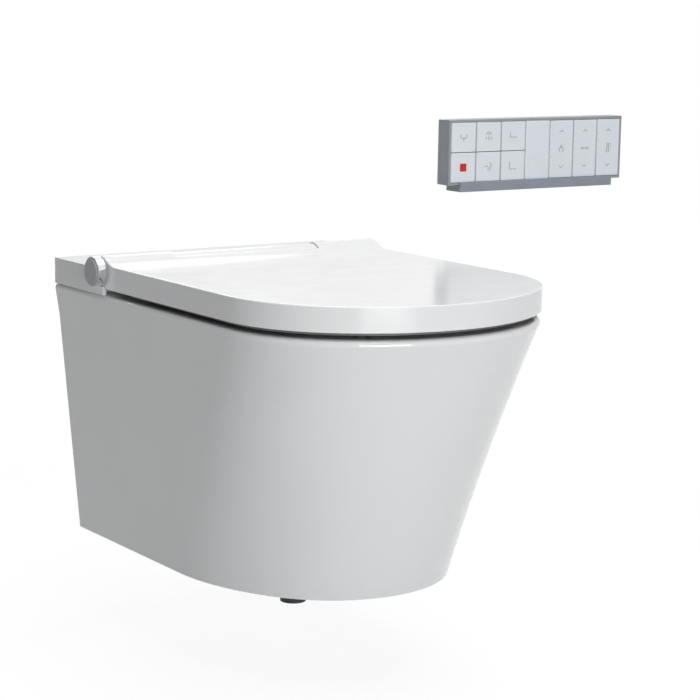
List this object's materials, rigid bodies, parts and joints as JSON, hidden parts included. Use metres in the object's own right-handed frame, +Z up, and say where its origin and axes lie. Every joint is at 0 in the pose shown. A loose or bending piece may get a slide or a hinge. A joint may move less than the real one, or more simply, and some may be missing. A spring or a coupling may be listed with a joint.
{
  "type": "smart toilet with heated seat",
  "caption": "Wall-hung ceramic smart toilet with heated seat, soft-close lid, wash nozzle, warm air dryer, side knob and a wall remote control.",
  "frame": {"origin": "midway between the two wall bolts, on the wall's face", "axes": "+X to the right of someone facing the toilet, +Y into the wall, +Z up"},
  "size_m": [0.8727, 0.5484, 0.49],
  "materials": {
    "glaze": "glossy white vitreous china",
    "white_plastic": "glossy white",
    "grey_plastic": "satin dark grey",
    "rubber": "matt black",
    "chrome": "polished",
    "knob_grey": "satin grey",
    "steel": "brushed",
    "brass": "machined",
    "unit_plastic": "satin mid grey",
    "carbon": "porous black",
    "board_green": "solder mask",
    "heater_foil": "foil",
    "remote_shell": "satin silver grey",
    "holder_grey": "satin blue grey",
    "key_white": "satin pale blue white"
  },
  "bodies": {
    "pan": {"ceramic_skirt": "glaze", "ceramic_bowl": "glaze", "bottom_plugs": "rubber", "fixing_sleeves": "grey_plastic", "flush_seal": "rubber", "housing_shell": "white_plastic", "base_tray": "grey_plastic", "tray_screws": "steel", "left_hinge_tube": "steel", "right_hinge_pin": "steel", "knob_encoder": "grey_plastic", "water_heater": "unit_plastic", "solenoid_valve": "unit_plastic", "water_pump": "unit_plastic", "power_supply": "unit_plastic", "carbon_filter": "carbon", "control_board": "board_green", "inlet_connector": "brass", "blower_housing": "grey_plastic", "deodoriser_housing": "grey_plastic", "dryer_duct": "grey_plastic", "dryer_heater": "heater_foil", "nozzle_guide": "grey_plastic", "nozzle_motor": "grey_plastic", "remote_holder": "holder_grey"},
    "lid": {"lid_shell": "white_plastic", "lid_liner": "white_plastic", "lid_bumpers": "rubber", "lid_damper": "grey_plastic"},
    "seat": {"seat_top": "white_plastic", "seat_base": "grey_plastic", "seat_heater": "heater_foil", "seat_bumpers": "rubber", "seat_damper": "grey_plastic"},
    "knob_plunger": {"knob_spindle": "steel"},
    "knob": {"knob_ring": "chrome", "knob_face": "knob_grey"},
    "nozzle": {"nozzle_tube": "steel", "nozzle_tip": "chrome"},
    "roller": {"drive_roller": "grey_plastic"},
    "flap": {"dryer_flap": "grey_plastic"},
    "blower_wheel": {"blower_rotor": "grey_plastic"},
    "deodoriser_wheel": {"deodoriser_fan": "grey_plastic"},
    "remote": {"remote_back": "remote_shell", "remote_front": "remote_shell", "battery_cover": "remote_shell", "remote_board": "board_green", "batteries": "remote_shell"},
    "eco_key_body": {"eco_key": "key_white"},
    "stop_key_body": {"stop_key": "key_white"},
    "dryer_key_body": {"dryer_key": "key_white"},
    "rear_wash_key_body": {"rear_wash_key": "key_white"},
    "oscillate_key_body": {"oscillate_key": "key_white"},
    "front_wash_key_body": {"front_wash_key": "key_white"},
    "pressure_rocker_body": {"pressure_rocker": "key_white"},
    "position_rocker_body": {"position_rocker": "key_white"},
    "temperature_rocker_body": {"temperature_rocker": "key_white"}
  },
  "joints": [
    {"name": "lid_hinge", "type": "hinge", "parent": "pan", "child": "lid", "pos_m": [0, -0.114, 0.1074], "axis": [-1, 0, 0], "range_deg": [0, 102]},
    {"name": "seat_hinge", "type": "hinge", "parent": "pan", "child": "seat", "pos_m": [0, -0.114, 0.1074], "axis": [-1, 0, 0], "range_deg": [0, 96]},
    {"name": "knob_push", "type": "slide", "parent": "pan", "child": "knob_plunger", "axis": [1, 0, 0], "range_m": [0, 0.0014], "stiffness_N_per_m": 1500},
    {"name": "knob_turn", "type": "hinge", "parent": "knob_plunger", "child": "knob", "pos_m": [-0.195, -0.114, 0.1074], "axis": [-1, 0, 0], "continuous": true},
    {"name": "nozzle_slide", "type": "slide", "parent": "pan", "child": "nozzle", "axis": [0, -0.9781, -0.2079], "range_m": [0, 0.06]},
    {"name": "roller_spin", "type": "hinge", "parent": "pan", "child": "roller", "pos_m": [0.0126, -0.09988, 0.09188], "axis": [0, -0.2079, 0.9781], "range_deg": [0, 573]},
    {"name": "flap_hinge", "type": "hinge", "parent": "pan", "child": "flap", "pos_m": [-0.034, -0.17472, 0.08045], "axis": [-1, 0, 0], "range_deg": [0, 65], "stiffness_Nm_per_rad": 0.001},
    {"name": "blower_spin", "type": "hinge", "parent": "pan", "child": "blower_wheel", "pos_m": [-0.064, -0.054, 0.09], "axis": [0, 0, 1], "continuous": true},
    {"name": "deodoriser_spin", "type": "hinge", "parent": "pan", "child": "deodoriser_wheel", "pos_m": [-0.139, -0.05, 0.09], "axis": [0, 0, 1], "continuous": true},
    {"name": "remote_lift", "type": "slide", "parent": "pan", "child": "remote", "axis": [0, 0, 1], "range_m": [0, 0.08]},
    {"name": "eco_key_push", "type": "slide", "parent": "remote", "child": "eco_key_body", "axis": [0, 1, 0], "range_m": [0, 0.001], "stiffness_N_per_m": 1500},
    {"name": "stop_key_push", "type": "slide", "parent": "remote", "child": "stop_key_body", "axis": [0, 1, 0], "range_m": [0, 0.001], "stiffness_N_per_m": 1500},
    {"name": "dryer_key_push", "type": "slide", "parent": "remote", "child": "dryer_key_body", "axis": [0, 1, 0], "range_m": [0, 0.001], "stiffness_N_per_m": 1500},
    {"name": "rear_wash_key_push", "type": "slide", "parent": "remote", "child": "rear_wash_key_body", "axis": [0, 1, 0], "range_m": [0, 0.001], "stiffness_N_per_m": 1500},
    {"name": "oscillate_key_push", "type": "slide", "parent": "remote", "child": "oscillate_key_body", "axis": [0, 1, 0], "range_m": [0, 0.001], "stiffness_N_per_m": 1500},
    {"name": "front_wash_key_push", "type": "slide", "parent": "remote", "child": "front_wash_key_body", "axis": [0, 1, 0], "range_m": [0, 0.001], "stiffness_N_per_m": 1500},
    {"name": "pressure_rocker_rock", "type": "hinge", "parent": "remote", "child": "pressure_rocker_body", "pos_m": [0.56203, -0.0236, 0.218], "axis": [1, 0, 0], "range_deg": [-2, 2], "stiffness_Nm_per_rad": 1.5},
    {"name": "position_rocker_rock", "type": "hinge", "parent": "remote", "child": "position_rocker_body", "pos_m": [0.60406, -0.0236, 0.218], "axis": [1, 0, 0], "range_deg": [-2, 2], "stiffness_Nm_per_rad": 1.5},
    {"name": "temperature_rocker_rock", "type": "hinge", "parent": "remote", "child": "temperature_rocker_body", "pos_m": [0.64609, -0.0236, 0.218], "axis": [1, 0, 0], "range_deg": [-2, 2], "stiffness_Nm_per_rad": 1.5}
  ],
  "couplings": [
    {"joint": "seat_hinge", "follows": "lid_hinge", "ratio": 0.94},
    {"joint": "roller_spin", "follows": "nozzle_slide", "rad_per_m": 166.67}
  ]
}
